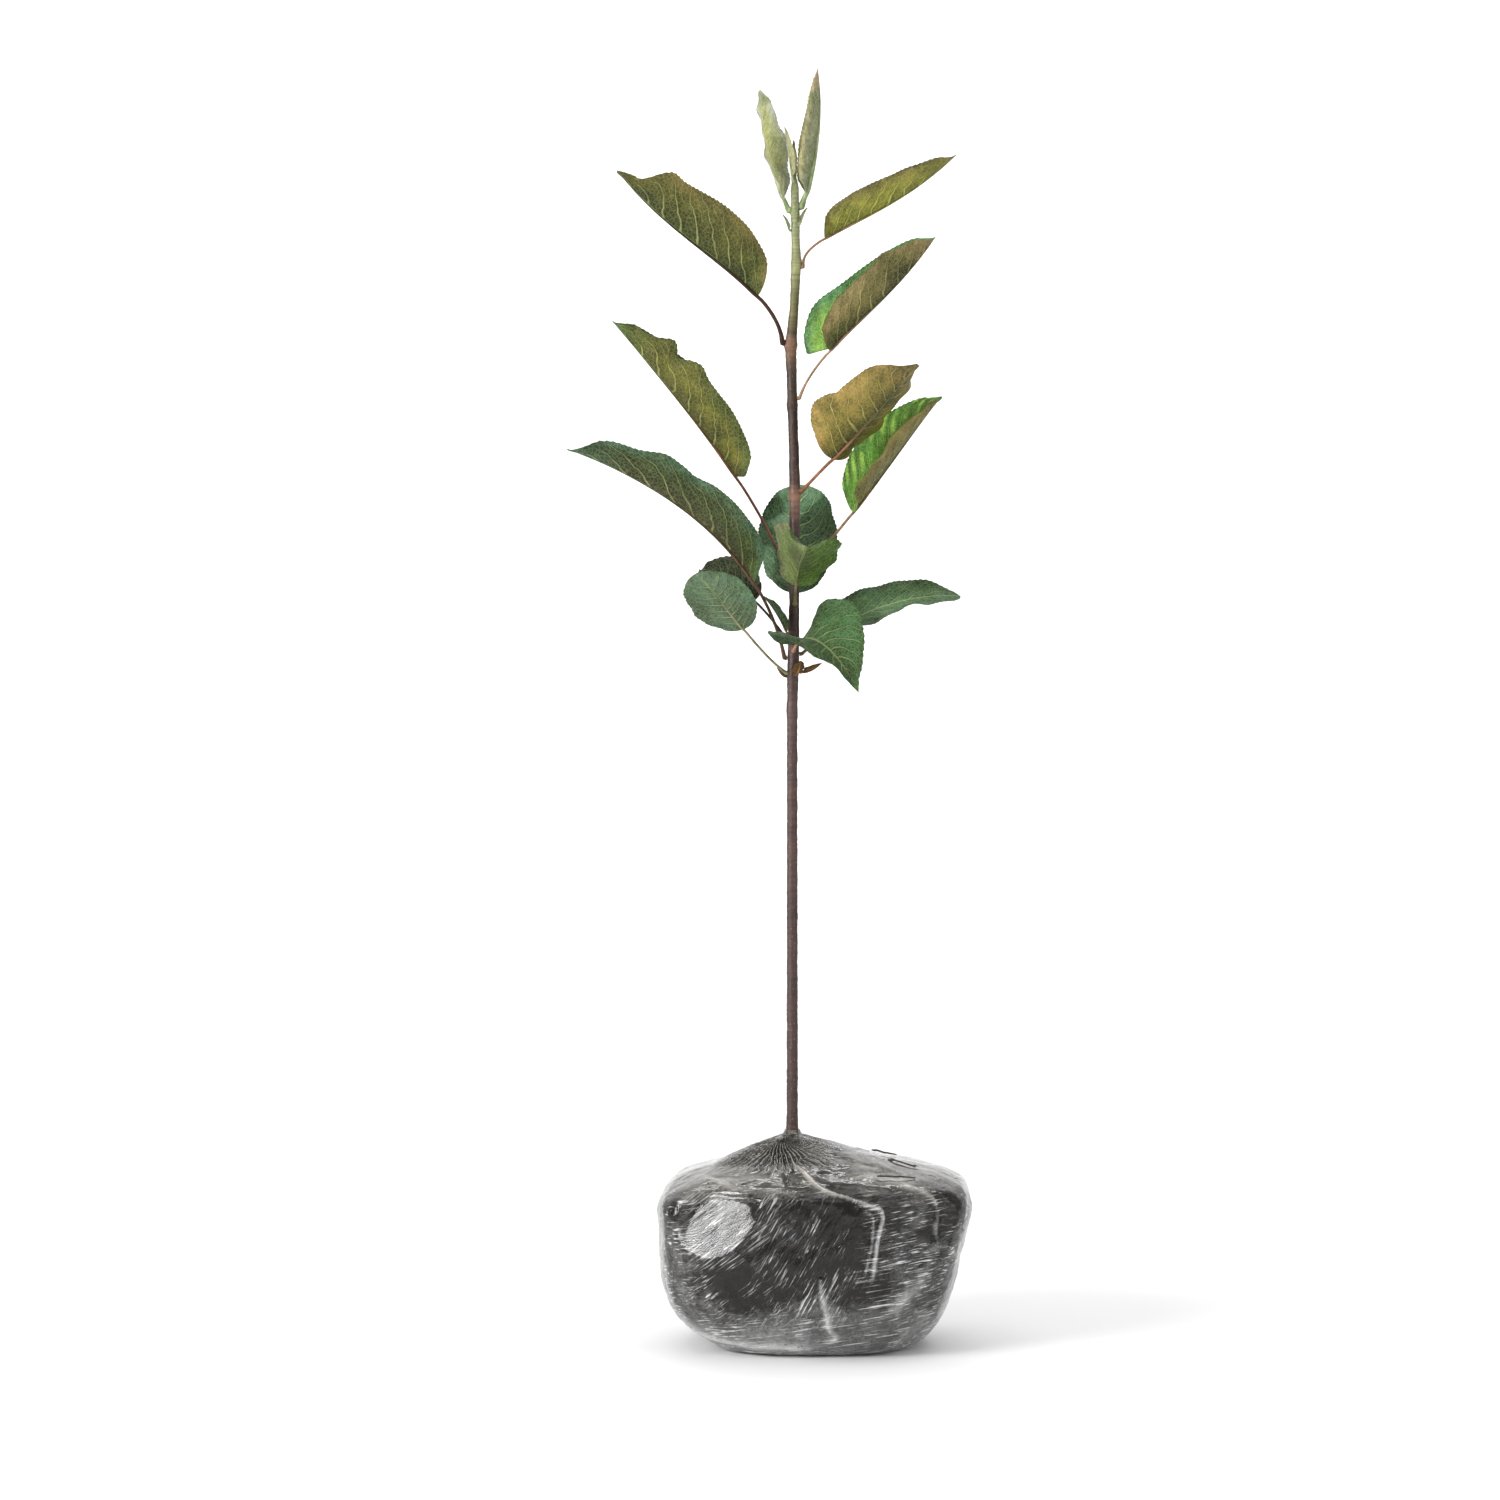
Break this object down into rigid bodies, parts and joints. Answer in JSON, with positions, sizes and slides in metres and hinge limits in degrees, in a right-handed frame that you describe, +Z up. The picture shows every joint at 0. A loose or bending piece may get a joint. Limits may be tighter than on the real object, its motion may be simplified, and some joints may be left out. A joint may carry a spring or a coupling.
{
  "type": "potted apple tree",
  "caption": "Young apple tree with one straight stem, a head of folded leaves and a ball of soil wrapped in clear stretch film instead of a pot, flat underneath.",
  "frame": {"origin": "on the stem's axis in the plane the wrapped ball rests on", "axes": "+Z up along the stem, -Y towards the side where the front leaves point, +X to the right of that side"},
  "size_m": [0.2131, 0.1473, 0.675],
  "materials": {
    "bark": "satin",
    "soil": "matte",
    "film": "gloss",
    "leaf": "satin",
    "young_leaf": "matte",
    "bud_scale": "matte",
    "straw": "matte"
  },
  "bodies": {
    "root": {"stem_and_roots": "bark", "soil_ball": "soil", "film_wrap": "film", "leaf_upper_right": "leaf", "leaf_upper_left": "leaf", "leaf_second_right": "leaf", "leaf_middle_left": "leaf", "leaf_third_right": "leaf", "leaf_fourth_right": "leaf", "leaf_lower_left": "leaf", "leaf_back": "leaf", "leaf_back_left": "leaf", "leaf_front": "leaf", "leaf_low_left": "leaf", "leaf_low_front": "leaf", "leaf_low_right": "leaf", "leaf_young_left": "young_leaf", "leaf_young_right": "young_leaf", "tip_leaflet_front": "young_leaf", "tip_leaflet_back": "young_leaf", "stipule_left": "young_leaf", "stipule_right": "young_leaf", "stipule_low": "young_leaf", "bud_scale_right": "bud_scale", "bud_scale_front": "bud_scale", "bud_scale_left": "bud_scale", "straw_front": "straw", "straw_middle": "straw", "straw_back": "straw"}
  },
  "joints": []
}
